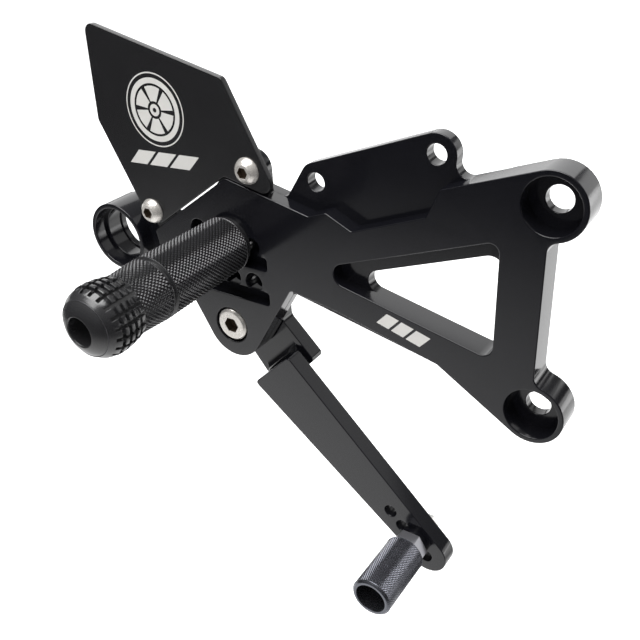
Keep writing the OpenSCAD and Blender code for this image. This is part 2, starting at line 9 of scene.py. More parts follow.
import bpy
from mathutils import Matrix, Vector


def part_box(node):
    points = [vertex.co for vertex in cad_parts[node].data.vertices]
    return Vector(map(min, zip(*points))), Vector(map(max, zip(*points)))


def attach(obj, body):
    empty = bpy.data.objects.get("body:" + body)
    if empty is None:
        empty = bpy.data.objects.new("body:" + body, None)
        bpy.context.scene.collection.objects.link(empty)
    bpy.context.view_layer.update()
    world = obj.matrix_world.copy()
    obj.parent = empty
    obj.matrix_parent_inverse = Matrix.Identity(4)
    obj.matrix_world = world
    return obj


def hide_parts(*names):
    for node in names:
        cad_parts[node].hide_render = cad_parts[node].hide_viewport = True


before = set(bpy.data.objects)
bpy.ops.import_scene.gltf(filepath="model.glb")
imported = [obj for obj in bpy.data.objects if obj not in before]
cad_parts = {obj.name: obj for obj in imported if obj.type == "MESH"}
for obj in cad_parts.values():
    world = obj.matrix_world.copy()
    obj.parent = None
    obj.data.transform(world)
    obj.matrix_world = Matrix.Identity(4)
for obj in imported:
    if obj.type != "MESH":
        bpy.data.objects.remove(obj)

log = logging.getLogger("footrest")
MM = 0.001
MERGE_DISTANCE = 2e-6
EDGE_SEGMENTS = 3
EDGE_ANGLE = 30.0
SMOOTH_ANGLE = 35.0
KNURL_SMOOTH_ANGLE = 22.0
GRAIN_HEIGHT = 0.00002


class Body(str, Enum):
    """Moving bodies of the frame."""

    PLATE = "plate"
    LEVER = "lever"


class Slot(str, Enum):
    """Material slots of the record."""

    ANODISED = "anodised_black"
    SHEET = "anodised_black_sheet"
    KNURLED = "anodised_black_knurled"
    GREY = "anodised_grey"
    STAINLESS = "stainless"
    STEEL = "steel"
    DARK_STEEL = "steel_dark"
    BRONZE = "bronze"


# ---------------------------------------------------------------- modelling helpers


def only(piece: bpy.types.Object) -> None:
    """Selects one object alone and makes it active.

    Args:
        piece: the object that the next operators act on.
    """
    bpy.ops.object.select_all(action="DESELECT")
    piece.select_set(True)
    bpy.context.view_layer.objects.active = piece


def settle(piece: bpy.types.Object) -> None:
    """Puts an object's place, turn and scale into its mesh."""
    only(piece)
    bpy.ops.object.transform_apply(location=True, rotation=True, scale=True)


def select_faces(piece: bpy.types.Object, test: Callable[[Vector, Vector], bool]) -> int:
    """Selects the faces that pass a test of centre and normal, from object mode.

    Args:
        piece: the object whose faces are looked at.
        test: a function of (centre, normal) that says yes or no.

    Returns:
        The number of faces selected.
    """
    for edge in piece.data.edges:
        edge.select = False
    for vertex in piece.data.vertices:
        vertex.select = False
    count = 0
    for face in piece.data.polygons:
        face.select = bool(test(face.center, face.normal))
        count += face.select
    return count


def select_outer_edges(piece: bpy.types.Object, angle: float) -> None:
    """Selects the outer edges that are sharper than an angle, from object mode.

    Args:
        piece: the object whose edges are looked at.
        angle: the least angle in radians.
    """
    mesh = piece.data
    beside: dict[tuple[int, int], list[int]] = {}
    for face in mesh.polygons:
        for key in face.edge_keys:
            beside.setdefault(key, []).append(face.index)
    for edge in mesh.edges:
        faces = [mesh.polygons[i] for i in beside.get(edge.key, [])]
        if len(faces) == 2 and faces[0].normal.angle(faces[1].normal, 0) > angle:
            corner = mesh.vertices[edge.vertices[0]].co
            edge.select = (faces[1].center - corner).dot(faces[0].normal) < -1e-9


def stand_in(node: str, name: str, width: float) -> bpy.types.Object:
    """Copies a CAD node's mesh, merges it and rounds its sharp edges.

    Args:
        node: the CAD node that is copied.
        name: name of the new piece.
        width: width of the edge rounding in metres.

    Returns:
        The new piece, which replaces the node.
    """
    piece = bpy.data.objects.new(name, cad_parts[node].data.copy())
    bpy.context.scene.collection.objects.link(piece)
    only(piece)
    bpy.ops.mesh.customdata_custom_splitnormals_clear()
    bpy.ops.object.mode_set(mode="EDIT")
    bpy.ops.mesh.select_mode(type="VERT")
    bpy.ops.mesh.select_all(action="SELECT")
    bpy.ops.mesh.remove_doubles(threshold=MERGE_DISTANCE)
    bpy.ops.mesh.select_mode(type="EDGE")
    bpy.ops.mesh.select_all(action="DESELECT")
    bpy.ops.object.mode_set(mode="OBJECT")
    select_outer_edges(piece, math.radians(EDGE_ANGLE))
    bpy.ops.object.mode_set(mode="EDIT")
    bpy.ops.mesh.bevel(offset=width, segments=EDGE_SEGMENTS, affect="EDGES", clamp_overlap=False,
                       loop_slide=False, miter_outer="ARC")
    bpy.ops.object.mode_set(mode="OBJECT")
    bpy.ops.object.shade_smooth_by_angle(angle=math.radians(SMOOTH_ANGLE))
    bpy.ops.object.modifier_add(type="WEIGHTED_NORMAL")
    piece.modifiers[-1].keep_sharp = True
    bpy.ops.object.modifier_apply(modifier=piece.modifiers[-1].name)
    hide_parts(node)
    return piece


def axis_of(node: str) -> tuple[float, float]:
    """Gives x and z of the middle of a turned node's box, in metres."""
    low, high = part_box(node)
    return (low[0] + high[0]) / 2, (low[2] + high[2]) / 2


@dataclass(frozen=True)
class Knurl:
    """Diamond knurl of a turned grip, in millimetres."""

    around: int
    pitch: float
    depth: float
    flat: float
    steps: int

    def height(self, turn: float, y: float) -> float:
        """Gives the height of the surface below its crest line.

        Args:
            turn: place round the axis, from 0 to 1.
            y: place along the axis in millimetres.

        Returns:
            A value from minus depth to 0, in millimetres.
        """
        a, b = turn * self.around, y / self.pitch
        tents = [1 - abs(((v % 1.0) - 0.5)) * 2 for v in (a + b + 0.5, a - b + 0.5)]
        top = min(1 - tents[0], 1 - tents[1])
        return (min(1.0, top / (1 - self.flat)) - 1) * self.depth


def knurled_sleeve(name: str, centre: tuple[float, float], ends: tuple[float, float],
                   radii: tuple[float, float], wall: float, knurl: Knurl) -> bpy.types.Object:
    """Wraps a grid into a closed ring whose outside carries a diamond knurl.

    Args:
        name: name of the piece.
        centre: x and z of the axis in metres.
        ends: y of the two ends in millimetres.
        radii: outer radius at the two ends in millimetres.
        wall: thickness of the ring in millimetres.
        knurl: the pattern.

    Returns:
        The ring, closed and with its normals outwards.
    """
    length = abs(ends[1] - ends[0])
    rows = max(2, round(length / knurl.pitch * knurl.steps))
    columns = knurl.around * knurl.steps
    profile: list[tuple[float, float, bool]] = [(ends[0], radii[0] - wall, False)]
    for i in range(rows + 1):
        t = i / rows
        profile.append((ends[0] + t * (ends[1] - ends[0]), radii[0] + t * (radii[1] - radii[0]), True))
    profile += [(ends[1], radii[1] - wall, False), (ends[0], radii[0] - wall, False)]
    bpy.ops.object.select_all(action="DESELECT")
    bpy.ops.mesh.primitive_grid_add(x_subdivisions=columns, y_subdivisions=len(profile) - 1, size=1)
    piece = bpy.context.object
    piece.name = piece.data.name = name
    # The crest height, 0 in the groove bottoms and 1 on the crests, is kept so that the finish can paint
    # shade into the grooves.
    crest = piece.data.attributes.new("crest", "FLOAT", "POINT")
    for vertex in piece.data.vertices:
        turn = vertex.co.x + 0.5
        y, radius, cut = profile[round((vertex.co.y + 0.5) * (len(profile) - 1))]
        if cut:
            height = knurl.height(turn, y)
            radius += height
            crest.data[vertex.index].value = 1 + height / knurl.depth
        angle = math.tau * turn
        vertex.co = (centre[0] + radius * MM * math.cos(angle), y * MM,
                     centre[1] + radius * MM * math.sin(angle))
    bpy.ops.object.mode_set(mode="EDIT")
    bpy.ops.mesh.select_all(action="SELECT")
    bpy.ops.mesh.remove_doubles(threshold=1e-6)
    bpy.ops.mesh.normals_make_consistent(inside=False)
    bpy.ops.object.mode_set(mode="OBJECT")
    bpy.ops.object.shade_smooth_by_angle(angle=math.radians(KNURL_SMOOTH_ANGLE))
    return piece


def sink_barrel(piece: bpy.types.Object, centre: tuple[float, float], ends: tuple[float, float],
                radius: float, depth: float) -> None:
    """Cuts a shallow recess in a turned barrel, for a knurled ring to sit in.

    Args:
        piece: the bevelled copy of the turned node.
        centre: x and z of the axis in metres.
        ends: lowest and highest y of the barrel in millimetres.
        radius: least radius of the barrel in millimetres.
        depth: depth of the recess in millimetres.
    """

    def on_barrel(place: Vector, normal: Vector) -> bool:
        """Tells the barrel's faces from all others.

        Args:
            place: the face's centre.
            normal: the face's normal.

        Returns:
            Whether the face lies on the barrel.
        """
        out = Vector((place.x - centre[0], 0, place.z - centre[1]))
        return (ends[0] * MM < place.y < ends[1] * MM and out.length > radius * MM * 0.97
                and normal.dot(out.normalized()) > 0.99 and abs(normal.y) < 0.12)

    only(piece)
    found = select_faces(piece, on_barrel)
    bpy.ops.object.mode_set(mode="EDIT")
    bpy.ops.mesh.select_mode(type="FACE")
    bpy.ops.mesh.extrude_region_shrink_fatten(TRANSFORM_OT_shrink_fatten={"value": -depth * MM})
    bpy.ops.object.mode_set(mode="OBJECT")
    log.info("%s: %d barrel faces sunk", piece.name, found)


def flat_ring(name: str, centre: tuple[float, float], y: float, outer: float, inner: float,
              thick: float, vertices: int = 96) -> bpy.types.Object:
    """Makes a thin flat ring on a face that looks along -Y.

    Args:
        name: name of the piece.
        centre: x and z in millimetres.
        y: the face that it lies on, in millimetres.
        outer: outer radius in millimetres.
        inner: inner radius in millimetres.
        thick: thickness in millimetres.
        vertices: corners round the ring.

    Returns:
        The ring.
    """
    bpy.ops.object.select_all(action="DESELECT")
    place = (centre[0] * MM, y * MM, centre[1] * MM)
    bpy.ops.mesh.primitive_circle_add(vertices=vertices, radius=outer * MM, fill_type="NOTHING",
                                      location=place, rotation=(math.pi / 2, 0, 0))
    ring = bpy.context.object
    ring.name = ring.data.name = name
    bpy.ops.object.mode_set(mode="EDIT")
    bpy.ops.mesh.select_all(action="SELECT")
    bpy.ops.mesh.extrude_edges_move()
    bpy.ops.transform.resize(value=(inner / outer,) * 3, center_override=place)
    bpy.ops.mesh.select_all(action="SELECT")
    bpy.ops.mesh.extrude_region_move(TRANSFORM_OT_translate={"value": (0, -thick * MM, 0)})
    bpy.ops.mesh.select_all(action="SELECT")
    bpy.ops.mesh.normals_make_consistent(inside=False)
    bpy.ops.object.mode_set(mode="OBJECT")
    settle(ring)
    return ring


def flat_patch(name: str, corners: list[tuple[float, float]], y: float, thick: float) -> bpy.types.Object:
    """Makes a thin four-cornered patch on a face that looks along -Y.

    Args:
        name: name of the piece.
        corners: x and z of the corners in order, in millimetres.
        y: the face that it lies on, in millimetres.
        thick: thickness in millimetres.

    Returns:
        The patch.
    """
    bpy.ops.object.select_all(action="DESELECT")
    bpy.ops.mesh.primitive_plane_add(size=1)
    patch = bpy.context.object
    patch.name = patch.data.name = name
    for index, corner in zip((0, 1, 3, 2), corners):
        patch.data.vertices[index].co = (corner[0] * MM, y * MM, corner[1] * MM)
    bpy.ops.object.mode_set(mode="EDIT")
    bpy.ops.mesh.select_all(action="SELECT")
    bpy.ops.mesh.extrude_region_move(TRANSFORM_OT_translate={"value": (0, -thick * MM, 0)})
    bpy.ops.mesh.select_all(action="SELECT")
    bpy.ops.mesh.normals_make_consistent(inside=False)
    bpy.ops.object.mode_set(mode="OBJECT")
    return patch


def join(pieces: list[bpy.types.Object], name: str) -> bpy.types.Object:
    """Joins pieces into one.

    Args:
        pieces: the pieces, of which the first one stays.
        name: name of the whole.

    Returns:
        The joined piece.
    """
    only(pieces[0])
    for piece in pieces[1:]:
        piece.select_set(True)
    bpy.ops.object.join()
    whole = bpy.context.object
    whole.name = whole.data.name = name
    return whole


# ---------------------------------------------------------------- finishes


class Effects:
    """Shader node group that all the finishes share, built once."""

    @staticmethod
    def _group(name: str, inputs: dict[str, tuple[str, float | None]],
               outputs: dict[str, str]) -> bpy.types.NodeTree:
        """Makes an empty group with named sockets.

        Args:
            name: name of the group.
            inputs: socket type and default value by name.
            outputs: socket type by name.

        Returns:
            The group, with its input and output nodes.
        """
        tree = bpy.data.node_groups.new(name, "ShaderNodeTree")
        for label, (kind, value) in inputs.items():
            socket = tree.interface.new_socket(label, in_out="INPUT", socket_type=kind)
            if value is not None:
                socket.default_value = value
        for label, kind in outputs.items():
            tree.interface.new_socket(label, in_out="OUTPUT", socket_type=kind)
        tree.nodes.new("NodeGroupInput")
        tree.nodes.new("NodeGroupOutput")
        return tree

    @classmethod
    def grain(cls) -> bpy.types.NodeTree:
        """Fine blasted grain of an anodised skin: a roughness and a height that change over the surface.

        Returns:
            The group.
        """
        if "Fine grain" in bpy.data.node_groups:
            return bpy.data.node_groups["Fine grain"]
        tree = cls._group("Fine grain",
                          {"Vector": ("NodeSocketVector", None), "Scale": ("NodeSocketFloat", 4000.0),
                           "Smooth": ("NodeSocketFloat", 0.2), "Rough": ("NodeSocketFloat", 0.3)},
                          {"Roughness": "NodeSocketFloat", "Height": "NodeSocketFloat",
                           "Cloud": "NodeSocketFloat"})
        nodes, links = tree.nodes, tree.links
        source, sink = nodes["Group Input"], nodes["Group Output"]
        fine = nodes.new("ShaderNodeTexNoise")
        fine.inputs["Detail"].default_value = 2.0
        links.new(source.outputs["Vector"], fine.inputs["Vector"])
        links.new(source.outputs["Scale"], fine.inputs["Scale"])
        cloud = nodes.new("ShaderNodeTexNoise")
        cloud.inputs["Scale"].default_value = 38.0
        cloud.inputs["Detail"].default_value = 3.0
        links.new(source.outputs["Vector"], cloud.inputs["Vector"])
        mixed = nodes.new("ShaderNodeMath")
        mixed.operation = "MULTIPLY_ADD"
        mixed.inputs[1].default_value = 0.5
        links.new(fine.outputs["Fac"], mixed.inputs[0])
        half = nodes.new("ShaderNodeMath")
        half.operation = "MULTIPLY"
        half.inputs[1].default_value = 0.5
        links.new(cloud.outputs["Fac"], half.inputs[0])
        links.new(half.outputs[0], mixed.inputs[2])
        spread = nodes.new("ShaderNodeMapRange")
        spread.inputs["From Min"].default_value = 0.3
        spread.inputs["From Max"].default_value = 0.7
        links.new(mixed.outputs[0], spread.inputs["Value"])
        links.new(source.outputs["Smooth"], spread.inputs["To Min"])
        links.new(source.outputs["Rough"], spread.inputs["To Max"])
        links.new(spread.outputs["Result"], sink.inputs["Roughness"])
        links.new(fine.outputs["Fac"], sink.inputs["Height"])
        links.new(cloud.outputs["Fac"], sink.inputs["Cloud"])
        return tree


@dataclass(frozen=True)
class Finish:
    """One surface finish of the footrest."""

    name: str
    dark: tuple[float, float, float]
    light: tuple[float, float, float]
    metallic: float
    smooth: float
    rough: float
    ior: float = 1.5
    grain: float = 4000.0
    bump: float = 0.08
    # Colour of the painted shade in knurl grooves, blended in by the crest height; None for no painted
    # shade.
    groove: tuple[float, float, float] | None = None

    def material(self) -> bpy.types.Material:
        """Builds the material, or finds it again.

        Returns:
            The material.
        """
        if self.name in bpy.data.materials:
            return bpy.data.materials[self.name]
        material = bpy.data.materials.new(self.name)
        material.use_nodes = True
        nodes, links = material.node_tree.nodes, material.node_tree.links
        skin = nodes["Principled BSDF"]
        skin.inputs["Metallic"].default_value = self.metallic
        skin.inputs["IOR"].default_value = self.ior
        place = nodes.new("ShaderNodeTexCoord")
        grain = nodes.new("ShaderNodeGroup")
        grain.node_tree = Effects.grain()
        grain.inputs["Scale"].default_value = self.grain
        grain.inputs["Smooth"].default_value = self.smooth
        grain.inputs["Rough"].default_value = self.rough
        links.new(place.outputs["Object"], grain.inputs["Vector"])
        links.new(grain.outputs["Roughness"], skin.inputs["Roughness"])
        tint = nodes.new("ShaderNodeMix")
        tint.data_type = "RGBA"
        tint.inputs[6].default_value = (*self.dark, 1)
        tint.inputs[7].default_value = (*self.light, 1)
        links.new(grain.outputs["Cloud"], tint.inputs[0])
        # Painted shade: the knurl grooves take the near black groove colour and the crests keep the finish's
        # colour.
        if self.groove:
            crest = nodes.new("ShaderNodeAttribute")
            crest.attribute_name = "crest"
            painted_knurl_shade = nodes.new("ShaderNodeMix")
            painted_knurl_shade.data_type = "RGBA"
            painted_knurl_shade.inputs[6].default_value = (*self.groove, 1)
            links.new(crest.outputs["Fac"], painted_knurl_shade.inputs[0])
            links.new(tint.outputs[2], painted_knurl_shade.inputs[7])
            links.new(painted_knurl_shade.outputs[2], skin.inputs["Base Color"])
        else:
            links.new(tint.outputs[2], skin.inputs["Base Color"])
        bump = nodes.new("ShaderNodeBump")
        bump.inputs["Strength"].default_value = self.bump
        bump.inputs["Distance"].default_value = GRAIN_HEIGHT
        links.new(grain.outputs["Height"], bump.inputs["Height"])
        links.new(bump.outputs["Normal"], skin.inputs["Normal"])
        return material


BLACK = Finish("Black anodised aluminium", (0.0046, 0.0047, 0.0064), (0.0062, 0.0063, 0.0085),
               0.0, 0.11, 0.17)
SHEET = Finish("Black anodised sheet", (0.0125, 0.0125, 0.0135), (0.0155, 0.0155, 0.0165), 0.0, 0.20, 0.28)
GRIP = Finish("Black anodised knurl", (0.016, 0.016, 0.0172), (0.021, 0.021, 0.0225),
              0.0, 0.20, 0.29, ior=1.65)
# The knurl crests are painted lighter than the other black anodised parts as a painted highlight, and their
# grooves get painted shade.
CREST = Finish("Black anodised knurl crests", (0.030, 0.030, 0.033), (0.042, 0.042, 0.046), 0.25, 0.15, 0.23,
               ior=1.6, groove=(0.002, 0.002, 0.002))
# The grooves of the grey knurl get painted shade.
TOE = Finish("Grey anodised knurl crests", (0.22, 0.225, 0.26), (0.27, 0.275, 0.31), 0.95, 0.20, 0.30,
             groove=(0.006, 0.006, 0.008))
# The turned line is a real bead; its colour, lighter than the black head, is a painted highlight.
LINE_HIGHLIGHT = Finish("Turned line painted highlight", (0.035, 0.035, 0.038), (0.06, 0.06, 0.065), 0.4, 0.14, 0.22)
GREY = Finish("Grey anodised", (0.13, 0.135, 0.155), (0.15, 0.155, 0.175), 0.92, 0.20, 0.30)
STAINLESS = Finish("Stainless screw", (0.66, 0.63, 0.59), (0.78, 0.75, 0.71), 0.62, 0.22, 0.32)
# Painted shade with a painted warm reflection, for the walls and floor of hex sockets.
SOCKET_SHADE = Finish("Screw socket painted shade", (0.030, 0.020, 0.012), (0.055, 0.038, 0.024), 0.0, 0.45, 0.6)
STEEL = Finish("Zinc plated steel", (0.42, 0.42, 0.41), (0.52, 0.52, 0.51), 1.0, 0.22, 0.34)
SPACER = Finish("Grey spacer", (0.20, 0.20, 0.215), (0.27, 0.27, 0.29), 0.8, 0.26, 0.36)
BRONZE = Finish("Sintered bronze", (0.32, 0.19, 0.07), (0.40, 0.25, 0.10), 1.0, 0.30, 0.42)
MARKING = Finish("Engraved marking", (0.58, 0.57, 0.545), (0.66, 0.65, 0.625), 0.0, 0.45, 0.60)


def dress(piece: bpy.types.Object, body: Body, finish: Finish) -> None:
    """Gives a new piece its body and its finish.

    Args:
        piece: the new piece.
        body: the body that it rides on.
        finish: the finish.
    """
    piece.data.materials.clear()
    piece.data.materials.append(finish.material())
    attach(piece, body.value)
    log.info("%s: %d faces, %s", piece.name, len(piece.data.polygons), finish.name)


def dress_node(node: str, finish: Finish) -> None:
    """Gives a carried-over CAD node its finish.

    Args:
        node: the CAD node.
        finish: the finish.
    """
    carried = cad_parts[node]
    for place in carried.material_slots:
        place.material = finish.material()
    log.info("%s: carried over, %s", node, finish.name)


def paint_socket_shade(piece: bpy.types.Object, centres: list[tuple[float, float]], radius: float,
                   y: tuple[float, float]) -> None:
    """Paints the walls and floor of hex sockets dark brown: painted shade in the recess with a painted warm
    reflection.
        centres: x and z of the sockets in metres.
        radius: radius inside which a face belongs to a socket, in metres.
        y: lowest and highest y of a socket's faces, in metres.
    """
    piece.data.materials.append(SOCKET_SHADE.material())
    dark = 0
    for face in piece.data.polygons:
        if y[0] < face.center.y < y[1] and any(
                math.hypot(face.center.x - c[0], face.center.z - c[1]) < radius for c in centres):
            face.material_index = 1
            dark += 1
    log.info("%s: %d socket faces", piece.name, dark)


# ---------------------------------------------------------------- sub-assemblies


@dataclass
class Plate:
    """Side plate with its heel guard, screws and marks."""

    edge: float = 0.38
    guard_edge: float = 0.30
    front_y: float = -11.5
    screw_edge: float = 0.12
    mark: float = 0.03
    dial: tuple[float, float] = (-154.9, 46.5)

    def build(self) -> None:
        """Builds and dresses the plate, the guard and their screws."""
        dress(stand_in("side_plate", "side_plate_finished", self.edge * MM), Body.PLATE, BLACK)
        guard = stand_in("heel_guard", "heel_guard_finished", self.guard_edge * MM)
        dress(guard, Body.PLATE, SHEET)
        screws = stand_in("heel_guard_screws", "heel_guard_screws_finished", self.screw_edge * MM)
        dress(screws, Body.PLATE, STAINLESS)
        self.socket_faces(screws)
        self.marks()

    def socket_faces(self, screws: bpy.types.Object) -> None:
        """Paints shade into the sockets of the button screws.

        Args:
            screws: the two screws as one piece.
        """
        points = [vertex.co for vertex in screws.data.vertices]
        tip = min(point.y for point in points)
        middle = (min(p.x for p in points) + max(p.x for p in points)) / 2
        centres = []
        for side in (-1, 1):
            head = [p for p in points if p.y < tip + 0.004 and (p.x - middle) * side > 0]
            centres.append(((min(p.x for p in head) + max(p.x for p in head)) / 2,
                            (min(p.z for p in head) + max(p.z for p in head)) / 2))
        paint_socket_shade(screws, centres, 0.0026, (tip + 0.0002, tip + 0.004))

    def marks(self) -> None:
        """Adds the plain marks: a dial and a row of bars on the guard, a row of bars on the arm."""
        y, thick = self.front_y, self.mark
        parts = [flat_ring("dial_line", self.dial, y, 14.25, 13.75, thick),
                 flat_ring("dial_band", self.dial, y, 12.2, 10.1, thick),
                 flat_ring("dial_hub", self.dial, y, 2.3, 0.9, thick, 48)]
        for i in range(6):
            low, high = math.radians(60 * i + 6), math.radians(60 * i + 54)
            for half in range(4):
                a, b = low + (high - low) * half / 4, low + (high - low) * (half + 1) / 4
                corners = [(self.dial[0] + r * math.cos(t), self.dial[1] + r * math.sin(t))
                           for r, t in ((3.4, a), (9.2, a), (9.2, b), (3.4, b))]
                parts.append(flat_patch("dial_segment", corners, y, thick))
        dial = join(parts, "guard_dial_mark")
        dress(dial, Body.PLATE, MARKING)
        bars = self.bars("guard_bar_marks", (-171.9, 23.4), (31.0, 1.7), (5.5, 5.9),
                         [(0, .29), (.34, .63), (.68, 1)])
        dress(bars, Body.PLATE, MARKING)
        arm = self.bars("arm_bar_marks", (-59.4, -18.5), (17.4, -5.1), (4.2, 4.6),
                        [(0, .28), (.34, .62), (.68, 1)])
        dress(arm, Body.PLATE, MARKING)

    def bars(self, name: str, corner: tuple[float, float], along: tuple[float, float],
             up: tuple[float, float], spans: list[tuple[float, float]]) -> bpy.types.Object:
        """Makes a row of slanted bars.

        Args:
            name: name of the piece.
            corner: x and z where the row starts, in millimetres.
            along: the row's whole length as a vector.
            up: the bars' height as a vector.
            spans: start and end of each bar as shares of the length.

        Returns:
            The bars as one piece.
        """
        parts = []
        for start, end in spans:
            foot = [(corner[0] + along[0] * t, corner[1] + along[1] * t) for t in (start, end)]
            corners = [foot[0], foot[1], (foot[1][0] + up[0], foot[1][1] + up[1]),
                       (foot[0][0] + up[0], foot[0][1] + up[1])]
            parts.append(flat_patch(name, corners, self.front_y, self.mark))
        return join(parts, name)


@dataclass
class FootPeg:
    """Knurled foot peg: its base, its folding tip and the screw inside."""

    knurl: Knurl = field(default_factory=lambda: Knurl(46, 1.75, 0.5, 0.25, 6))
    front_y: float = -14.3
    joint_y: float = -56.0
    head_y: float = -70.8
    recess: float = 0.75
    ring_y: float = -86.5
    ring_r: float = 10.28
    end_r: float = 11.3
    joint_r: float = 12.0
    wall: float = 0.9
    base_edge: float = 0.08
    tip_edge: float = 0.13

    def build(self) -> None:
        """Builds and dresses the peg."""
        centre = axis_of("peg_base")
        base = stand_in("peg_base", "peg_base_body", self.base_edge * MM)
        sink_barrel(base, centre, (self.joint_y + 1.2, self.front_y), self.end_r, self.recess)
        dress(base, Body.PLATE, GRIP)
        sleeve = knurled_sleeve("peg_base_knurl", centre, (self.front_y - 0.02, self.joint_y + 1.4),
                                (self.end_r, self.joint_r), self.wall, self.knurl)
        dress(sleeve, Body.PLATE, CREST)
        tip = stand_in("foot_peg", "foot_peg_body", self.tip_edge * MM)
        sink_barrel(tip, centre, (self.head_y + 0.15, self.joint_y - 0.8), self.end_r, self.recess)
        dress(tip, Body.PLATE, GRIP)
        barrel = knurled_sleeve("foot_peg_knurl", centre, (self.joint_y - 0.72, self.head_y),
                                (self.joint_r, self.end_r), self.wall, self.knurl)
        dress(barrel, Body.PLATE, CREST)
        # The turned line carries a painted highlight.
        dress(self.bead(centre), Body.PLATE, LINE_HIGHLIGHT)
        for node in ("peg_stud", "peg_screw", "peg_washer"):
            dress_node(node, STEEL)

    def bead(self, centre: tuple[float, float]) -> bpy.types.Object:
        """Makes the fine turned line where the smooth dome meets the teeth.

        Args:
            centre: x and z of the peg's axis in metres.

        Returns:
            The line, as a flattened ring half sunk in the head.
        """
        bpy.ops.object.select_all(action="DESELECT")
        place = (centre[0], self.ring_y * MM, centre[1])
        bpy.ops.mesh.primitive_torus_add(location=place, rotation=(math.pi / 2, 0, 0), major_segments=120,
                                         minor_segments=10, major_radius=self.ring_r * MM,
                                         minor_radius=0.14 * MM)
        ring = bpy.context.object
        ring.name = ring.data.name = "foot_peg_line"
        bpy.ops.object.mode_set(mode="EDIT")
        bpy.ops.mesh.select_all(action="SELECT")
        bpy.ops.transform.resize(value=(1, 1.6, 1), center_override=place)
        bpy.ops.object.mode_set(mode="OBJECT")
        bpy.ops.object.shade_smooth()
        settle(ring)
        return ring


@dataclass
class Lever:
    """Brake lever on its bushes and pivot bolt."""

    edge: float = 0.36
    bolt_edge: float = 0.15

    def build(self) -> None:
        """Builds and dresses the lever and what it turns on."""
        lever = stand_in("brake_lever", "brake_lever_finished", self.edge * MM)
        dress(lever, Body.LEVER, BLACK)
        bolt = stand_in("pivot_bolt", "pivot_bolt_finished", self.bolt_edge * MM)
        dress(bolt, Body.PLATE, STAINLESS)
        low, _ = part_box("pivot_bolt")
        # The hex socket of the pivot bolt gets painted shade.
        paint_socket_shade(bolt, [axis_of("pivot_bolt")], 0.0038, (low[1] + 0.0004, low[1] + 0.0042))
        for node in ("front_bush", "rear_bush"):
            dress_node(node, BRONZE)
        for node in ("pivot_washer", "pivot_nut"):
            dress_node(node, STEEL)


@dataclass
class ToePeg:
    """Knurled toe peg on its spacer and collar."""

    knurl: Knurl = field(default_factory=lambda: Knurl(52, 1.0, 0.36, 0.12, 4))
    radius: float = 8.3
    root_y: float = -17.0
    tip_y: float = -45.0
    recess: float = 0.5
    wall: float = 0.6

    def build(self) -> None:
        """Builds and dresses the toe peg and what holds it."""
        centre = axis_of("toe_peg")
        peg = stand_in("toe_peg", "toe_peg_body", 0.12 * MM)
        sink_barrel(peg, centre, (self.tip_y + 1.0, self.root_y - 0.2), self.radius, self.recess)
        dress(peg, Body.LEVER, GREY)
        sleeve = knurled_sleeve("toe_peg_knurl", centre, (self.root_y - 0.75, self.tip_y + 0.95),
                                (self.radius, self.radius), self.wall, self.knurl)
        dress(sleeve, Body.LEVER, TOE)
        dress(stand_in("toe_spacer", "toe_spacer_finished", 0.2 * MM), Body.LEVER, SPACER)
        dress(stand_in("toe_collar", "toe_collar_finished", 0.15 * MM), Body.LEVER, BLACK)
        for node in ("toe_screw", "toe_washer", "toe_nut"):
            dress_node(node, STEEL)


# ---------------------------------------------------------------- studio


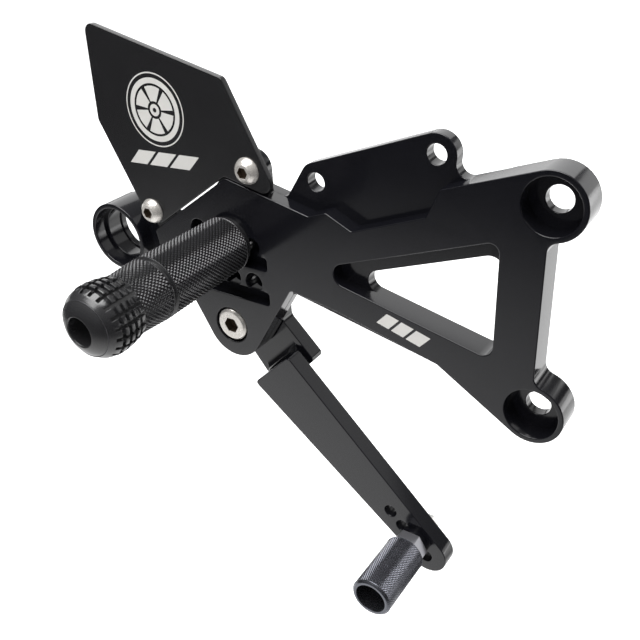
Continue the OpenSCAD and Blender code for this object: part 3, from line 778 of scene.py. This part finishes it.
@dataclass
class Studio:
    """Floor, world, lamps and camera."""

    floor_z: float = -0.27
    target: Vector = field(default_factory=lambda: Vector((-0.09, -0.01, -0.01)))

    def build(self) -> None:
        """Builds the studio."""
        self.floor()
        self.world()
        self.panel("Overhead softbox", (-0.22, -0.20, 0.78), (0.80, 0.75), 6.6)
        self.panel("Rear panel", (-0.50, 0.90, 0.42), (1.5, 0.75), 1.6)
        self.panel("Low rear right panel", (0.55, 0.62, -0.10), (0.50, 0.30), 1.7)
        self.panel("Rear right panel", (0.24, 0.92, 0.20), (0.55, 0.40), 1.25)
        self.panel("Right side glow", (0.62, 0.62, 0.58), (0.70, 0.60), 0.6)
        fill = self.panel("Front fill", (0.25, -1.1, 0.35), (0.6, 0.6), 3.2)
        fill.visible_glossy = False
        self.camera()
        bpy.context.scene.view_settings.view_transform = "Standard"

    def panel(self, name: str, place: tuple[float, float, float], size: tuple[float, float],
              radiance: float) -> bpy.types.Object:
        """Adds a soft rectangular lamp that faces the object.

        Args:
            name: name of the lamp.
            place: its centre in metres.
            size: width and height in metres.
            radiance: how bright the panel itself looks.

        Returns:
            The lamp.
        """
        bpy.ops.object.select_all(action="DESELECT")
        bpy.ops.object.light_add(type="AREA", location=place)
        lamp = bpy.context.object
        lamp.name = name
        lamp.data.shape = "RECTANGLE"
        lamp.data.size, lamp.data.size_y = size
        lamp.data.energy = radiance * math.pi * size[0] * size[1]
        lamp.rotation_euler = (self.target - Vector(place)).to_track_quat("-Z", "Y").to_euler()
        lamp.visible_camera = False
        return lamp

    def floor(self) -> None:
        """Adds the pale floor: white to the camera, and white near the object to polished faces."""
        bpy.ops.object.select_all(action="DESELECT")
        bpy.ops.mesh.primitive_plane_add(size=12, location=(0, 0, self.floor_z))
        floor = bpy.context.object
        floor.name = "floor"
        material = bpy.data.materials.new("White table")
        material.use_nodes = True
        nodes, links = material.node_tree.nodes, material.node_tree.links
        nodes.clear()
        out = nodes.new("ShaderNodeOutputMaterial")
        place = nodes.new("ShaderNodeTexCoord")
        centred = nodes.new("ShaderNodeMapping")
        centred.inputs["Location"].default_value = (0.30, 0.0, 0.0)
        links.new(place.outputs["Object"], centred.inputs["Vector"])
        reach = nodes.new("ShaderNodeVectorMath")
        reach.operation = "LENGTH"
        links.new(centred.outputs["Vector"], reach.inputs[0])
        near = nodes.new("ShaderNodeMapRange")
        near.interpolation_type = "SMOOTHSTEP"
        for label, value in (("From Min", 0.12), ("From Max", 0.76), ("To Min", 1.4), ("To Max", 0.03)):
            near.inputs[label].default_value = value
        links.new(reach.outputs["Value"], near.inputs["Value"])
        split = nodes.new("ShaderNodeSeparateXYZ")
        links.new(centred.outputs["Vector"], split.inputs["Vector"])
        behind = nodes.new("ShaderNodeMapRange")
        behind.interpolation_type = "SMOOTHSTEP"
        for label, value in (("From Min", 0.05), ("From Max", 0.35), ("To Min", 0.0), ("To Max", 1.75)):
            behind.inputs[label].default_value = value
        links.new(split.outputs["Y"], behind.inputs["Value"])
        seen = nodes.new("ShaderNodeMath")
        seen.operation = "MAXIMUM"
        links.new(near.outputs["Result"], seen.inputs[0])
        links.new(behind.outputs["Result"], seen.inputs[1])
        path = nodes.new("ShaderNodeLightPath")
        glossy = nodes.new("ShaderNodeMath")
        glossy.operation = "MULTIPLY"
        links.new(seen.outputs[0], glossy.inputs[0])
        links.new(path.outputs["Is Glossy Ray"], glossy.inputs[1])
        camera = nodes.new("ShaderNodeMath")
        camera.operation = "MAXIMUM"
        links.new(path.outputs["Is Camera Ray"], camera.inputs[0])
        links.new(path.outputs["Is Transmission Ray"], camera.inputs[1])
        white = nodes.new("ShaderNodeMapRange")
        white.interpolation_type = "SMOOTHSTEP"
        for label, value in (("From Min", 0.25), ("From Max", 0.95), ("To Min", 0.62), ("To Max", 1.0)):
            white.inputs[label].default_value = value
        links.new(reach.outputs["Value"], white.inputs["Value"])
        shown = nodes.new("ShaderNodeMath")
        shown.operation = "MULTIPLY_ADD"
        links.new(white.outputs["Result"], shown.inputs[1])
        links.new(camera.outputs[0], shown.inputs[0])
        links.new(glossy.outputs[0], shown.inputs[2])
        glow = nodes.new("ShaderNodeEmission")
        links.new(shown.outputs[0], glow.inputs["Strength"])
        matt = nodes.new("ShaderNodeBsdfDiffuse")
        matt.inputs["Color"].default_value = (0.85, 0.85, 0.85, 1)
        dim = nodes.new("ShaderNodeMixShader")
        black = nodes.new("ShaderNodeBsdfDiffuse")
        black.inputs["Color"].default_value = (0.02, 0.02, 0.02, 1)
        links.new(path.outputs["Is Glossy Ray"], dim.inputs[0])
        links.new(matt.outputs[0], dim.inputs[1])
        links.new(black.outputs[0], dim.inputs[2])
        both = nodes.new("ShaderNodeAddShader")
        links.new(dim.outputs[0], both.inputs[0])
        links.new(glow.outputs[0], both.inputs[1])
        links.new(both.outputs[0], out.inputs["Surface"])
        floor.data.materials.append(material)

    def world(self) -> None:
        """Sets a world that the camera sees white and that polished faces see as a dim room."""
        world = bpy.data.worlds.new("Studio room")
        bpy.context.scene.world = world
        world.use_nodes = True
        nodes, links = world.node_tree.nodes, world.node_tree.links
        nodes.clear()
        out = nodes.new("ShaderNodeOutputWorld")
        path = nodes.new("ShaderNodeLightPath")
        camera = nodes.new("ShaderNodeMath")
        camera.operation = "MAXIMUM"
        links.new(path.outputs["Is Camera Ray"], camera.inputs[0])
        links.new(path.outputs["Is Transmission Ray"], camera.inputs[1])
        place = nodes.new("ShaderNodeTexCoord")
        split = nodes.new("ShaderNodeSeparateXYZ")
        links.new(place.outputs["Generated"], split.inputs["Vector"])
        height = nodes.new("ShaderNodeMapRange")
        for label, value in (("From Min", 0.0), ("From Max", 1.0), ("To Min", 0.03), ("To Max", 0.5)):
            height.inputs[label].default_value = value
        links.new(split.outputs["Z"], height.inputs["Value"])
        room = nodes.new("ShaderNodeBackground")
        links.new(height.outputs["Result"], room.inputs["Strength"])
        white = nodes.new("ShaderNodeBackground")
        white.inputs["Color"].default_value = (1, 1, 1, 1)
        white.inputs["Strength"].default_value = 1.0
        mix = nodes.new("ShaderNodeMixShader")
        links.new(camera.outputs[0], mix.inputs[0])
        links.new(room.outputs[0], mix.inputs[1])
        links.new(white.outputs[0], mix.inputs[2])
        links.new(mix.outputs[0], out.inputs["Surface"])

    def camera(self) -> None:
        """Adds the camera at the photograph's viewing angle."""
        right = Vector((0.83576, 0.54760, -0.04052))
        up = Vector((-0.24672, 0.44043, 0.86322))
        back = -Vector((-0.49055, 0.71144, -0.50320))
        turn = Matrix((right, up, back)).transposed().to_4x4()
        bpy.ops.object.select_all(action="DESELECT")
        bpy.ops.object.camera_add()
        camera = bpy.context.object
        camera.matrix_world = Matrix.Translation((0.075285, -0.2425, 0.138804)) @ turn
        camera.data.lens = 48.457
        camera.data.sensor_width = 36.0
        camera.data.sensor_fit = "HORIZONTAL"
        camera.data.clip_start = 0.01
        bpy.context.scene.camera = camera


def main() -> None:
    """Builds every sub-assembly in order, then the studio."""
    logging.basicConfig(level=logging.INFO, format="%(name)s %(message)s")
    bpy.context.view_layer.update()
    for assembly in (Plate(), FootPeg(), Lever(), ToePeg()):
        log.info("building %s", type(assembly).__name__)
        assembly.build()
    Studio().build()


if __name__ == "__main__":
    main()
